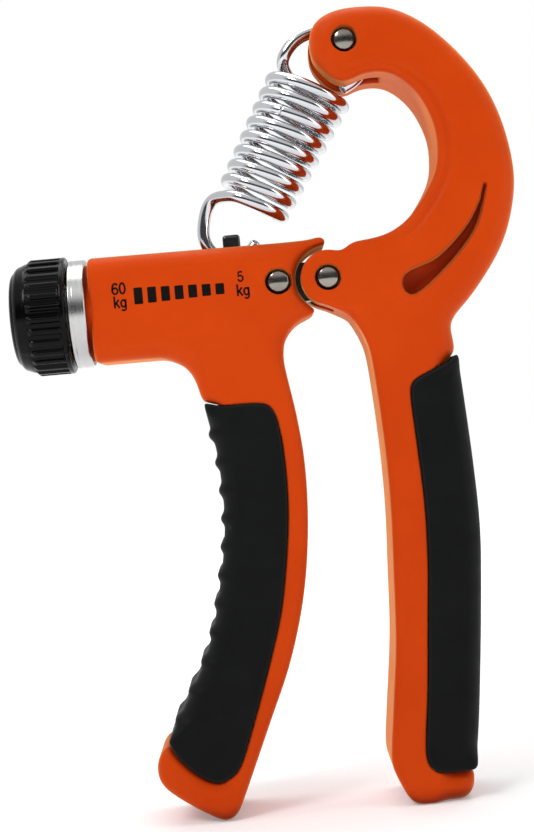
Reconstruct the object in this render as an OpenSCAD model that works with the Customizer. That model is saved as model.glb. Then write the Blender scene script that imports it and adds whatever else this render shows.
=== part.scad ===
// Hand grip strengthener: two levers on a pivot, an adjustable extension spring,
// a knob and lead screw that move the lower end of the spring along the barrel.
// Millimetres. X runs along the barrel, Y through the thickness, Z up.
// The two feet stand on Z = 0 and the thickness is centred on Y = 0.

/* [Handles] */
// Thickness of both moulded handles
body_t = 20; // [18:0.5:26]
// Height of the underside of the barrel above the feet
leg_h = 92.5; // [76:0.5:112]
// Height of the C-shaped arm above the pivot axis
arm_h = 53.3; // [49:0.1:66]
// Reach of the C-shaped arm to the right of the pivot axis
arm_w = 38.8; // [36:0.1:48]
// Depth of the crescent recess in each face of the arm
recess_d = 2.5; // [1:0.5:4]

/* [Grips] */
// Thickness of the grip rubber over the faces
grip_t = 1.8; // [1.2:0.1:2.6]
// Thickness of the grip rubber over the outer edge
grip_edge_t = 2.6; // [1.8:0.1:3.4]
// How far the rubber stands proud of the faces of the moulding
grip_proud = 0.3; // [0.1:0.1:0.6]
// Number of finger ridges on the left grip
ridge_count = 11; // [6:1:14]
// Height of the finger ridges
ridge_h = 0.8; // [0.3:0.1:1.2]

/* [Barrel] */
// Height of the barrel
barrel_h = 21; // [20:0.5:26]
// Left end of the barrel
barrel_x = -34.8; // [-42:0.1:-33.8]
// Wall of the barrel round its bore
barrel_wall = 2.5; // [1.8:0.1:3]
// Width of the slot along the top of the barrel
slot_w = 8.4; // [7.6:0.2:10]
// Distance that the carriage travels along the screw
travel = 18; // [10:1:19]

/* [Knob] */
// Radius over the ribs of the knob
knob_r = 11.8; // [10:0.1:14]
// Length of the knob
knob_l = 11.6; // [10:0.1:14]
// Number of ribs round the knob
rib_count = 30; // [12:1:40]
// Radius of the collar ring between knob and barrel
collar_r = 10.9; // [10.6:0.1:12.5]
// Length of the collar ring
collar_l = 3.6; // [2.6:0.1:5]
// Crest radius of the lead screw
screw_r = 3; // [2.4:0.1:3.6]
// Pitch of the lead screw
screw_pitch = 1.5; // [1:0.25:2]

/* [Pivot and pins] */
// Position of the pivot axis along X
pivot_x = 12.6; // [12:0.1:14]
// Height of the pivot axis above the underside of the barrel
pivot_up = 13; // [12:0.1:14]
// Distance from the pivot axis to the link pin
link_l = 9.9; // [9.5:0.1:10.4]
// Radius of the three steel pins
pin_r = 2.15; // [1.7:0.05:2.5]
// Radial clearance of a pin in a running bore
fit = 0.05; // [0.02:0.01:0.08]
// Radius of the knuckle of the right handle
knuckle_r = 5.5; // [5.2:0.1:6]
// Gap between the knuckle and the socket of the left handle
knuckle_gap = 0.8; // [0.5:0.1:1.2]
// Thickness of the steel hinge link
link_t = 4.6; // [3.6:0.2:6]
// Thickness of each thrust washer on the pivot
washer_t = 0.5; // [0.4:0.1:0.8]

/* [Spring] */
// Diameter of the spring wire
wire_d = 2.5; // [1.8:0.1:2.6]
// Number of turns in the coil
turns = 9; // [8:1:10]
// Mean radius of the first turn
coil_r0 = 6.7; // [6:0.1:7]
// Mean radius of the last turn
coil_r1 = 7.95; // [7.2:0.1:8.2]

/* [Hidden] */
$fn = 48;

// Reference lines
under_z = leg_h;
axis_z = under_z + barrel_h / 2;
top_z = under_z + barrel_h;
pivot_z = under_z + pivot_up;
link_x = pivot_x - link_l;
pin_seat = 0.45;

// The spring pin hangs in the end of the arm
spring_pin_x = pivot_x + 7.2;
spring_pin_z = pivot_z + arm_h - 6.7;

// A point of the legs: the heights stretch with leg_h
function leg(x, z) = [x, z * leg_h / 92.5];

// A point of the arm, measured from the pivot axis
function arm(x, z) = [pivot_x + x * arm_w / 38.8, pivot_z + z * arm_h / 53.3];

function unit(v) = v / norm(v);

// Smooth open curve through a few points, with n steps between neighbours
function blend3(a, b, c, d, t) = 0.5 * (2 * b + (c - a) * t
    + (2 * a - 5 * b + 4 * c - d) * t * t + (3 * b - a - 3 * c + d) * t * t * t);
function curve(p, n = 4) = concat([for (i = [0 : len(p) - 2], k = [0 : n - 1])
    blend3(p[max(i - 1, 0)], p[i], p[i + 1], p[min(i + 2, len(p) - 1)], k / n)],
    [p[len(p) - 1]]);
function arc(c, r, a0, a1, n) = [for (k = [0 : n])
    c + r * [cos(a0 + (a1 - a0) * k / n), sin(a0 + (a1 - a0) * k / n)]];

// Outline of the left handle, clockwise from the lower left corner of the barrel
left_outline = concat(
    [[barrel_x, under_z], [barrel_x, top_z]],
    curve([[4, top_z - 0.2], [9, top_z], [12.2, top_z + 0.8]]),
    [[pivot_x + 0.8, top_z - 0.3], [pivot_x + 0.8, pivot_z], [pivot_x - 2, pivot_z - 5]],
    curve([[pivot_x - 1.7, pivot_z - 6.7], [pivot_x - 3.6, pivot_z - 7.1],
        [pivot_x - 6.8, pivot_z - 8.3], leg(3.2, 94.2),
        leg(2.5, 90.4), leg(2.9, 86.5), leg(4.2, 77.8), leg(4.9, 67.8), leg(4.3, 55.3),
        leg(2.3, 42.7), leg(-1.4, 30.2), leg(-6.3, 18.9), leg(-12.4, 5.1), leg(-14.2, 1.4),
        leg(-15.8, 0)]),
    curve([leg(-17.3, 0), leg(-22.3, 2.9), leg(-28, 7.2), leg(-29.5, 10.3),
        leg(-29.2, 13.4)]),
    [leg(-26.9, 16.8), leg(-22, 22.8), leg(-16.1, 34), leg(-12.7, 46.5), leg(-10.7, 58.9),
        leg(-10.9, 71.4), leg(-12.1, 78.8)],
    curve([leg(-14.3, 82.9), [-15.3, under_z - 5.2], [-17.3, under_z - 2.1],
        [-21.2, under_z]]));

// Outline of the right handle, clockwise from the end of the arm
right_outline = concat(
    curve([arm(0.5, 44.5), arm(0.5, 48.3), arm(1.8, 50.8), arm(4.8, 52.6), arm(9.8, 53.3),
        arm(17.3, 52.4), arm(24.8, 47.8), arm(32.3, 39.2), arm(36.8, 29.9), arm(38.8, 18.7),
        arm(37.6, 10), arm(34.5, 2.5), arm(29, -5), arm(24.7, -9.4)]),
    [leg(36, 94.2), leg(36.7, 89), leg(36.4, 80.5), leg(37, 65.6), leg(37.2, 53.2),
        leg(36.3, 40.7), leg(35.1, 28.3), leg(33.7, 15.8)],
    curve([leg(33.4, 5.8), leg(32.8, 2), leg(31.2, 0)]),
    curve([leg(21.2, 0), leg(19.8, 1.2), leg(18.8, 3.2), leg(17.3, 6.8), leg(16.9, 10),
        leg(18.1, 19.7), leg(19.7, 32.6), leg(20.4, 45.6), leg(21, 58.5), leg(20.9, 71.4),
        leg(20.1, 85.6), leg(19.2, 92), [pivot_x + 4, pivot_z - 8.1]]),
    arc([pivot_x, pivot_z], knuckle_r, -95, -305, 16),
    curve([[pivot_x + 4, pivot_z + 5.6], [pivot_x + 5.6, pivot_z + 6.6], arm(9.1, 6.9),
        arm(13.4, 8), arm(17.8, 11.2), arm(22.7, 18.3), arm(23.8, 24.1), arm(23.2, 29.3),
        arm(20.4, 35.2), arm(15.8, 39.2), arm(10.8, 39.6), arm(7.3, 38.3), arm(4.6, 39),
        arm(2.4, 41.2), arm(0.9, 43.2)]));

// Crescent recess in the faces of the arm
crescent = concat(
    curve([arm(32.4, 15.5), arm(30.2, 8.3), arm(26, 2.7), arm(19.9, -2.8), arm(16.6, -4.6),
        arm(15, -3.6), arm(15, -1.4), arm(16.8, 0), arm(22.3, 2.1), arm(28.4, 7.7),
        arm(31.5, 12.6)]));

// Outer edge of the left grip, top to bottom, with evenly spaced finger ridges below a plain end
finger_edge = [leg(-14.2, 82.9), leg(-13.6, 78.8), leg(-12.4, 71.4), leg(-12.2, 58.9),
    leg(-14.2, 46.5), leg(-17.6, 34), leg(-23.5, 22.8), leg(-26.9, 16.8)];
finger_line = curve(finger_edge, 20);
finger_n = len(finger_line) - 1;
finger_drop = finger_line[0][1] - finger_line[finger_n][1];
plain_end = 0.08;
function ridge(z) =
    let (share = (finger_line[0][1] - z) / finger_drop)
    share < plain_end ? 0 : max(0, sin(360 * ridge_count * (share - plain_end) / (1 - plain_end)));
left_grip_outline = concat(
    [for (at = finger_line) at + [ridge_h * (0.2 - ridge(at[1])), 0]],
    curve([leg(-25.3, 13.8), leg(-22.1, 10.4), leg(-18.4, 8.1), leg(-15.4, 8.6),
        leg(-12.9, 11.1), leg(-9.9, 18.5), leg(-6.3, 28.4), leg(-2.7, 39.5), leg(-0.7, 49.4),
        leg(0.6, 59.3), leg(0.9, 67.9), leg(0.5, 75.3), leg(-0.6, 80.2), leg(-3.1, 81.7),
        leg(-10.4, 81.9)]));
right_grip_outline = concat(
    curve([leg(36.9, 89.2), leg(37.5, 80.5), leg(38.3, 65.6), leg(38.5, 53.2),
        leg(37.6, 40.7), leg(36.4, 28.3), leg(35, 15.8), leg(33.6, 6.3)]),
    curve([leg(32.1, 6.1), leg(25.9, 6.3), leg(24, 8.5), leg(24, 12.7), leg(25.2, 22.5),
        leg(26.3, 34.9), leg(27.4, 47.2), leg(27.8, 59.5), leg(27.3, 71.8), leg(26.9, 81),
        leg(27.7, 83.5), leg(30.2, 84.8), leg(35.1, 86.9)]));

// Flat outline given depth along Y, centred on the mid-plane
module slab(p, t) {
    rotate([90, 0, 0]) linear_extrude(t, center = true, convexity = 10) polygon(p);
}

// Cylinder along Y through (x, z)
module cross_cyl(x, z, r, t) {
    translate([x, 0, z]) rotate([90, 0, 0]) cylinder(t, r, r, center = true);
}

// Cylinder along X between x0 and x1 on the screw axis
module along(x0, x1, r) {
    translate([x0, 0, axis_z]) rotate([0, 90, 0]) cylinder(x1 - x0, r, r);
}

// Solid of revolution about the screw axis, with the profile as [distance along X, radius]
module turned(profile) {
    translate([0, 0, axis_z]) rotate([0, 90, 0]) rotate_extrude()
        polygon([for (q = profile) [q[1], q[0]]]);
}

// Room that a grip takes from its handle; side is +1 where the core lies towards +X
module grip_room(p, side) {
    difference() {
        slab(p, body_t + 4);
        slab([for (q = p) q + [side * grip_edge_t, 0]], body_t - 2 * grip_t);
    }
}

// Positions along the screw axis, from the knob to the blind end of the barrel
collar_x1 = barrel_x - 0.8;
collar_x0 = collar_x1 - collar_l;
knob_x1 = collar_x0 - 0.4;
knob_x0 = knob_x1 - knob_l;
spigot_r = collar_r - 1.3;
bore_r = barrel_h / 2 - barrel_wall;
bearing_l = 5;
bearing_x1 = collar_x0 + bearing_l;
hook_x = -5.9;
hook_bar_z = top_z - 0.5;
bore_x1 = hook_x + 2.7;
tail_r = 1.6;
tail_x1 = bore_x1 + 2.2;
bushing_r = screw_r + 2.2;
clip_x0 = bearing_x1 + 0.15;
clip_t = 0.8;
clip_r = screw_r + 1.6;
clip_seat_r = screw_r - 0.8;
hub_r = screw_r + 3.2;
washer_gap = 0.6;

// Slot along the top of the barrel, deep over the bore and shallow under the hook
slot_x0 = hook_x - travel - 7.7;
slot_x1 = hook_x + 7.3;
slot_z = top_z - 3.6;

// Knob, its ribs and its end cap
rib_h = 0.7;
rib_angle = 360 / rib_count;
rib_section = [[-0.3, -0.4], [-0.17, rib_h - 0.1], [0.17, rib_h - 0.1], [0.3, -0.4]];
knob_core_r = knob_r - rib_h;
cap_t = 1;
cap_plug_l = 1.6;
cap_plug_r = 6.4;
knob_wall = 1.8;
head_x = knob_x0 + cap_t + cap_plug_l;
screw_hole_r = 1.25;

// Thread of the lead screw, drawn as ring grooves
thread_x0 = clip_x0 + clip_t + 0.45;
thread_x1 = bore_x1 - 1.2;
thread_n = floor((thread_x1 - thread_x0) / screw_pitch);
thread_d = 0.45;
thread_section = [[0, 0], [0.3, thread_d], [0.7, thread_d], [0.9, 0]];

// Link, its bush and the slots that it turns in
link_end_r = 3.9;
eye_r = 4.9;
bush_wall = 0.9;
bush_r = pin_r + fit + bush_wall;
link_slot_w = link_t + 2 * washer_t;
link_slot_r = eye_r + 1.3;

// Slot in the end of the arm for the loop of the spring
arm_slot_w = wire_d + 2.5;
arm_slot_l = 7;
sleeve_r = pin_r + 0.85;

// Carriage: a nut on the lead screw with two cheeks and a cross bar
nut_l = 8.4;
nut_x1 = hook_x + 2.4;
nut_r = bore_r - 0.3;
bar_w = 3.5;
bar_h = 3.1;
cheek_gap = wire_d + 0.9;
carriage_w = slot_w - 0.6;

// The hook lies under the cross bar, low enough to clear the bar's edges
hook_r = 5.6;
hook_gap = hook_r - sqrt(hook_r * hook_r - bar_w * bar_w / 4) + 0.1;
hook_c = [hook_x, hook_bar_z - wire_d / 2 - hook_gap + hook_r];
sill_z = hook_bar_z - wire_d - 0.9;

// Axis of the coil, from above the hook to below the spring pin
coil_base = [hook_x + 4.3, 0, hook_bar_z + 8.3];
coil_top = [spring_pin_x - 6.6, 0, spring_pin_z - 6.4];
up = unit(coil_top - coil_base);
across = [up[2], 0, -up[0]];
coil_pitch = norm(coil_top - coil_base) / turns;

// Ends of the four lengths of wire, counted in turns; a hair's gap parts the lengths
join = 0.16;
foot_end = turns / 3;
coil_end = turns * 7 / 9;
wire_gap = 0.003;
steps_per_turn = 24;

module left_handle() {
    color("orangered") difference() {
        union() {
            slab(left_outline, body_t);
            along(collar_x0, barrel_x + 1, spigot_r);
        }
        grip_room(left_grip_outline, 1);
        // Bore with its counterbore for the bearing, and the slot above it
        along(bearing_x1 - 0.01, bore_x1, bore_r);
        along(collar_x0 - 1, bearing_x1, bushing_r);
        along(bore_x1 - 1, tail_x1, tail_r + fit);
        translate([slot_x0, -slot_w / 2, slot_z]) cube([slot_x1 - slot_x0, slot_w, 10]);
        translate([slot_x0, -slot_w / 2, axis_z]) cube([bore_x1 - slot_x0, slot_w, barrel_h]);
        // Socket round the knuckle, pocket of the link and bore of the link pin
        cross_cyl(pivot_x, pivot_z, knuckle_r + knuckle_gap, body_t + 2);
        translate([link_x, 0, pivot_z]) rotate([90, 0, 0]) linear_extrude(link_t, center = true) {
            circle(link_end_r);
            translate([0, -link_end_r]) square([link_l, 2 * link_end_r]);
        }
        cross_cyl(link_x, pivot_z, pin_r, body_t + 2);
        pin_counterbores(link_x, pivot_z);
    }
}

// Shallow counterbores that leave a dark ring round each pin end
module pin_counterbores(x, z) {
    for (s = [-1, 1]) translate([0, s * (body_t / 2), 0]) cross_cyl(x, z, pin_r + pin_seat, 3);
}

module left_grip() {
    color("dimgray") intersection() {
        grip_room(left_grip_outline, 1);
        slab(left_grip_outline, body_t + 2 * grip_proud);
    }
}

module right_handle() {
    color("orangered") difference() {
        slab(right_outline, body_t);
        grip_room(right_grip_outline, -1);
        for (s = [-1, 1]) translate([0, s * body_t / 2, 0]) slab(crescent, 2 * recess_d);
        // Slot for the link, and the bore of the pivot pin
        cross_cyl(pivot_x, pivot_z, link_slot_r, link_slot_w);
        translate([pivot_x - 12, -link_slot_w / 2, pivot_z - 14]) cube([12, link_slot_w, 28]);
        cross_cyl(pivot_x, pivot_z, pin_r, body_t + 2);
        pin_counterbores(pivot_x, pivot_z);
        // Slot for the loop of the spring, and the bore of the spring pin
        translate([spring_pin_x - 12, -arm_slot_w / 2, spring_pin_z - 12])
            cube([12 + arm_slot_l, arm_slot_w, 24]);
        cross_cyl(spring_pin_x, spring_pin_z, pin_r, body_t + 2);
        pin_counterbores(spring_pin_x, spring_pin_z);
    }
}

module right_grip() {
    color("dimgray") intersection() {
        grip_room(right_grip_outline, -1);
        slab(right_grip_outline, body_t + 2 * grip_proud);
    }
}

// Ring of ribs round the core of the knob
module knob_ribs() {
    translate([knob_x0 + 4, 0, axis_z]) rotate([0, 90, 0]) linear_extrude(knob_l - 4.6)
        polygon([for (k = [0 : rib_count - 1], q = rib_section)
            (knob_core_r + q[1]) * [cos((k + q[0]) * rib_angle), sin((k + q[0]) * rib_angle)]]);
}

// Ribbed knob with a rounded shoulder and a rim, hollow towards the collar
module knob() {
    color("black") difference() {
        union() {
            turned([[knob_x0 + cap_t, 0], [knob_x0 + cap_t, knob_core_r - 1.4],
                [knob_x0 + 1.6, knob_core_r - 0.7], [knob_x0 + 2.8, knob_core_r - 0.2],
                [knob_x0 + 3.4, knob_core_r], [knob_x1 - 1, knob_core_r], [knob_x1 - 1, knob_r],
                [knob_x1 - 0.3, knob_r], [knob_x1, knob_r - 0.4], [knob_x1, 0]]);
            knob_ribs();
        }
        difference() {
            along(knob_x0 + 3.4, knob_x1 + 1, knob_core_r - knob_wall);
            along(knob_x0 + 3, knob_x1 - washer_gap, hub_r);
        }
        along(knob_x0, knob_x1 + 1, screw_r);
        along(knob_x0, head_x, cap_plug_r);
    }
}

// Domed end cap that plugs into the knob
module knob_cap() {
    color("black") turned([[knob_x0, 0], [knob_x0, knob_core_r - 3],
        [knob_x0 + 0.35, knob_core_r - 2.1], [knob_x0 + cap_t, knob_core_r - 1.6],
        [knob_x0 + cap_t, cap_plug_r], [knob_x0 + 1.9, cap_plug_r],
        [knob_x0 + 1.9, cap_plug_r - 1.2], [knob_x0 + 0.9, cap_plug_r - 1.2], [knob_x0 + 0.9, 0]]);
}

// Pan head screw that holds the knob on the end of the lead screw
module knob_screw() {
    color("silver") difference() {
        union() {
            along(head_x - 1.5, head_x, 3.4);
            along(head_x - 0.1, head_x + 6, screw_hole_r);
        }
        for (a = [0, 90]) translate([head_x - 1.6, 0, axis_z]) rotate([a, 0, 0])
            translate([0, -0.35, -2]) cube([1, 0.7, 4]);
    }
}

module collar_ring() {
    color("lightgray") turned([[collar_x0, spigot_r], [collar_x0, collar_r - 0.3],
        [collar_x0 + 0.3, collar_r], [collar_x1 - 0.3, collar_r], [collar_x1, collar_r - 0.3],
        [collar_x1, spigot_r]]);
}

// Lead screw with a groove for the clip and a tail that runs in the blind end of the bore
module lead_screw() {
    color("gray") difference() {
        turned(concat(
            [[head_x, 0], [head_x, screw_r], [clip_x0, screw_r], [clip_x0, clip_seat_r],
                [clip_x0 + clip_t, clip_seat_r], [clip_x0 + clip_t, screw_r]],
            [for (i = [0 : thread_n - 1], q = thread_section)
                [thread_x0 + (i + q[0]) * screw_pitch, screw_r - q[1]]],
            [[thread_x1, screw_r], [thread_x1 + 0.6, tail_r], [tail_x1 - 0.3, tail_r],
                [tail_x1 - 0.3, 0]]));
        along(knob_x0, head_x + 6.3, screw_hole_r);
    }
}

// Flanged bush that carries the lead screw in the mouth of the barrel
module screw_bearing() {
    color("tan") difference() {
        along(collar_x0, bearing_x1, bushing_r);
        along(collar_x0 - 1, bearing_x1 + 1, screw_r + fit);
    }
}

// Washer that takes the pull of the spring between knob hub and bush
module thrust_washer() {
    color("silver") difference() {
        along(knob_x1 - washer_gap, collar_x0, bushing_r + 0.6);
        along(knob_x1 - washer_gap - 1, collar_x0 + 1, screw_r);
    }
}

// Spring clip in the groove of the lead screw
module retaining_clip() {
    color("dimgray") difference() {
        along(clip_x0, clip_x0 + clip_t, clip_r);
        along(bearing_x1, bearing_x1 + 1 + clip_t, clip_seat_r);
        translate([bearing_x1, 0.6 - clip_seat_r, axis_z])
            cube([clip_t + 1, 2 * (clip_seat_r - 0.6), clip_r + 1]);
    }
}

// Threaded carriage: the nut, the two cheeks and the bar that holds the hook
module carriage() {
    color("dimgray") difference() {
        union() {
            along(nut_x1 - nut_l, nut_x1, nut_r);
            translate([hook_x - bar_w / 2, -carriage_w / 2, axis_z])
                cube([bar_w, carriage_w, hook_bar_z + bar_h - axis_z]);
        }
        along(nut_x1 - nut_l - 1, nut_x1 + 1, screw_r + fit);
        // Window under the bar for the hook, open along X
        translate([hook_x - nut_l, -cheek_gap / 2, sill_z])
            cube([2 * nut_l, cheek_gap, hook_bar_z - sill_z]);
        // Flats that clear the hook on both sides of the bar
        for (x = [hook_x - bar_w / 2 - nut_l, hook_x + bar_w / 2])
            translate([x, -nut_r - 1, sill_z]) cube([nut_l, 2 * nut_r + 2, barrel_h]);
    }
}

// Steel link that joins the handles, with an eye for the pivot bush
module hinge_link() {
    color("silver") difference() {
        union() {
            cross_cyl(link_x, pivot_z, link_end_r, link_t);
            cross_cyl(pivot_x, pivot_z, eye_r, link_t);
            translate([link_x, -link_t / 2, pivot_z - link_end_r])
                cube([link_l, link_t, 2 * link_end_r]);
        }
        cross_cyl(link_x, pivot_z, pin_r, link_t + 2);
        cross_cyl(pivot_x, pivot_z, bush_r, link_t + 2);
    }
}

// Pin across both faces with chamfered ends that sit just below the face
module cross_pin(x, z) {
    half = body_t / 2 - 0.3;
    edge = 0.45;
    translate([x, 0, z]) rotate([90, 0, 0]) rotate_extrude()
        polygon([[0, -half], [pin_r - edge, -half], [pin_r, -half + edge], [pin_r, half - edge],
            [pin_r - edge, half], [0, half]]);
}

module link_pin() {
    color("dimgray") cross_pin(link_x, pivot_z);
}

module pivot_pin() {
    color("dimgray") cross_pin(pivot_x, pivot_z);
}

module spring_pin() {
    color("dimgray") cross_pin(spring_pin_x, spring_pin_z);
}

module pivot_bush() {
    color("tan") difference() {
        cross_cyl(pivot_x, pivot_z, bush_r, link_t);
        cross_cyl(pivot_x, pivot_z, pin_r + fit, link_t + 2);
    }
}

module pivot_washers() {
    color("white") for (s = [-1, 1]) difference() {
        translate([0, s * (link_t + washer_t) / 2, 0])
            cross_cyl(pivot_x, pivot_z, eye_r, washer_t - 0.1);
        cross_cyl(pivot_x, pivot_z, pin_r, body_t);
    }
}

// Sleeve that the loop of the spring bears on
module spring_sleeve() {
    color("silver") difference() {
        cross_cyl(spring_pin_x, spring_pin_z, sleeve_r, arm_slot_w - 0.4);
        cross_cyl(spring_pin_x, spring_pin_z, pin_r, arm_slot_w + 2);
    }
}

// Centre line of the spring. The coil climbs along its leaning axis; the hook and the loop
// lie in the mid-plane. Places along the coil are counted in turns from its lower end.
function coil_at(t) = let (r = coil_r0 + (coil_r1 - coil_r0) * t / turns)
    coil_base + up * coil_pitch * t - across * r * cos(360 * t) - [0, r * sin(360 * t), 0];
function coil_run(t0, t1) = let (n = round((t1 - t0) * steps_per_turn))
    [for (i = [0 : n]) coil_at(t0 + (t1 - t0) * i / n)];
hook_arc = [for (q = arc(hook_c, hook_r, -32, -190, 20)) [q[0], 0, q[1]]];
hook_path = concat(hook_arc, curve([hook_arc[20], [hook_x - 4.7, -0.1, hook_c[1] + 4.4],
    [hook_x - 2.9, -0.9, hook_c[1] + 6.9], coil_at(join)], 6));
function by_pin(x, z) = [spring_pin_x + x, 0, spring_pin_z + z];
loop_path = curve([coil_at(turns - join), by_pin(-12.3, -1.7) + [0, 0.6, 0],
    by_pin(-10.3, 1.6), by_pin(-7.8, 3.3), by_pin(-4.6, 4.1), by_pin(0.2, 4.4), by_pin(3, 3.2),
    by_pin(4.35, 0.2), by_pin(4.1, -3.4), by_pin(2.4, -6.4), by_pin(-0.3, -7.9)], 6);

// Direction of a path at one of its points
function dir_at(p, i) = let (n = len(p) - 1)
    unit(i == 0 ? 4 * p[1] - 3 * p[0] - p[2]
        : i == n ? 3 * p[n] - 4 * p[n - 1] + p[n - 2] : p[i + 1] - p[i - 1]);

// Round wire along a path, with a section that turns as little as it can
function carried(p, i, n) = let (t = dir_at(p, i), m = unit(n - (n * t) * t))
    i == len(p) - 1 ? [m] : concat([m], carried(p, i + 1, m));
module wire(path, sides = 8) {
    n = len(path);
    normals = carried(path, 0, abs(dir_at(path, 0)[1]) > 0.7 ? [1, 0, 0] : [0, 1, 0]);
    points = [for (i = [0 : n - 1], k = [0 : sides - 1])
        let (m = normals[i], b = cross(dir_at(path, i), m), a = 360 * k / sides)
        path[i] + wire_d / 2 * (m * cos(a) + b * sin(a))];
    walls = [for (i = [0 : n - 2], k = [0 : sides - 1]) let (j = (k + 1) % sides)
        [i * sides + k, (i + 1) * sides + k, (i + 1) * sides + j, i * sides + j]];
    ends = [[for (k = [0 : sides - 1]) k], [for (k = [sides - 1 : -1 : 0]) (n - 1) * sides + k]];
    polyhedron(points, concat(walls, ends), convexity = 12);
}

module spring_hook() {
    color("silver") wire(hook_path);
}

module spring_foot() {
    color("silver") wire(coil_run(join + 5 * wire_gap, foot_end - wire_gap));
}

module spring_coil() {
    color("silver") wire(coil_run(foot_end + wire_gap, coil_end - wire_gap));
}

module spring_loop() {
    color("silver") wire(concat(coil_run(coil_end + wire_gap, turns - join),
        [for (i = [1 : len(loop_path) - 1]) loop_path[i]]));
}

left_handle();
left_grip();
right_handle();
right_grip();
knob();
knob_cap();
knob_screw();
collar_ring();
lead_screw();
screw_bearing();
thrust_washer();
retaining_clip();
carriage();
hinge_link();
link_pin();
pivot_pin();
pivot_bush();
pivot_washers();
spring_pin();
spring_sleeve();
spring_hook();
spring_foot();
spring_coil();
spring_loop();
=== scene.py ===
import math

import bmesh
import bpy
import numpy as np
from mathutils import Matrix, Vector


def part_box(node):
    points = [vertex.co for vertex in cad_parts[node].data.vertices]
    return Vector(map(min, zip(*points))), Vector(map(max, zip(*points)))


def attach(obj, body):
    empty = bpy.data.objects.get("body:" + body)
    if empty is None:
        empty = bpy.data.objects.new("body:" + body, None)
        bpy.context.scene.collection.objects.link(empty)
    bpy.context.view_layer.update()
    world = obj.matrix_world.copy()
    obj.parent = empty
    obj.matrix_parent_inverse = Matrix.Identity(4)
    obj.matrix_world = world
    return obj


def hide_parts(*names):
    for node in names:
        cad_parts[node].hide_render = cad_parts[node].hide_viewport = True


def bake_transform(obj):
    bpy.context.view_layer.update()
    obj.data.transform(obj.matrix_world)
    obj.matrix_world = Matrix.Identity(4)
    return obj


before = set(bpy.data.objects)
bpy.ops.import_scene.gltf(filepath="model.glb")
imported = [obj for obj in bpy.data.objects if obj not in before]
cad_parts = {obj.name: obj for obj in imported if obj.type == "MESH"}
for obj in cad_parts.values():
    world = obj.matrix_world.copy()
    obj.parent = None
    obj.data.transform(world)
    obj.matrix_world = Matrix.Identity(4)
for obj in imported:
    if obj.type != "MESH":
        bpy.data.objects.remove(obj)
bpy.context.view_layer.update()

# Shapes are worked out in millimetres and made into meshes in metres.
MM = 0.001


# ---------------------------------------------------------------- places taken from the frame
def corners(node):
    """Lowest and highest corner of a CAD node, in millimetres."""
    low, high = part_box(node)
    return np.array(low) / MM, np.array(high) / MM


def middle(node):
    """Centre of a CAD node's box, in millimetres."""
    low, high = corners(node)
    return (low + high) / 2


PIVOT = middle("pivot_pin")
LINK = middle("link_pin")
SPRING_PIN = middle("spring_pin")
AXIS_Z = middle("knob")[2]
KNOB_AXIS = (0, 0, AXIS_Z)
HALF_T = corners("link_pin")[1][1] + 0.3
GRIP_HALF_T = corners("left_grip")[1][1]
PIN_R = (corners("link_pin")[1][0] - corners("link_pin")[0][0]) / 2
BEARING = corners("screw_bearing")
COLLAR = corners("collar_ring")
CARRIAGE = corners("carriage")
BARREL_X0 = COLLAR[1][0] + 0.8
BAR_H = 3.1
TOP_Z = CARRIAGE[1][2] - BAR_H + 0.5
UNDER_Z = 2 * AXIS_Z - TOP_Z
HOOK_X = CARRIAGE[1][0] - 2.4
HOLE_X, HOLE_Z = PIVOT[0] + 11.5, PIVOT[2] + 22.5


# ---------------------------------------------------------------- fields and their skins
def ramp(value, start, end):
    """Smooth step from 0 at start to 1 at end."""
    t = np.clip((value - start) / (end - start), 0, 1)
    return t * t * (3 - 2 * t)


def rounded(a, b, radius):
    """Field of what lies inside both a and b, with their shared edge rounded."""
    a, b = a + radius, b + radius
    return np.minimum(np.maximum(a, b), 0) + np.hypot(np.maximum(a, 0), np.maximum(b, 0)) - radius


def all_of(*fields):
    """Field of what lies inside every one of the fields."""
    out = fields[0]
    for field in fields[1:]:
        out = np.maximum(out, field)
    return out


def sections(node, depth):
    """Closed outlines (x, z) where the plane y = depth cuts a CAD node, largest first."""
    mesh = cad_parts[node].data
    mesh.calc_loop_triangles()
    points = np.zeros(len(mesh.vertices) * 3)
    mesh.vertices.foreach_get("co", points)
    points = points.reshape(-1, 3) / MM
    follows = {}
    for triangle in mesh.loop_triangles:
        p = points[list(triangle.vertices)]
        above = p[:, 1] > depth
        if above.all() or not above.any():
            continue
        odd = int(np.argmax(above)) if above.sum() == 1 else int(np.argmin(above))
        ends = []
        for other in ((odd + 1) % 3, (odd + 2) % 3):
            t = (depth - p[odd, 1]) / (p[other, 1] - p[odd, 1])
            ends.append(tuple(np.round(p[odd, ::2] + t * (p[other, ::2] - p[odd, ::2]), 3)))
        if above.sum() == 2:
            ends.reverse()
        if ends[0] != ends[1]:
            follows[ends[0]] = ends[1]
    loops = []
    while follows:
        start, point = follows.popitem()
        loop = [start, point]
        while point in follows:
            point = follows.pop(point)
            loop.append(point)
        loops.append(np.array(loop[:-1]))
    return sorted(loops, key=lambda loop: -np.ptp(loop, axis=0).prod())


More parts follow.
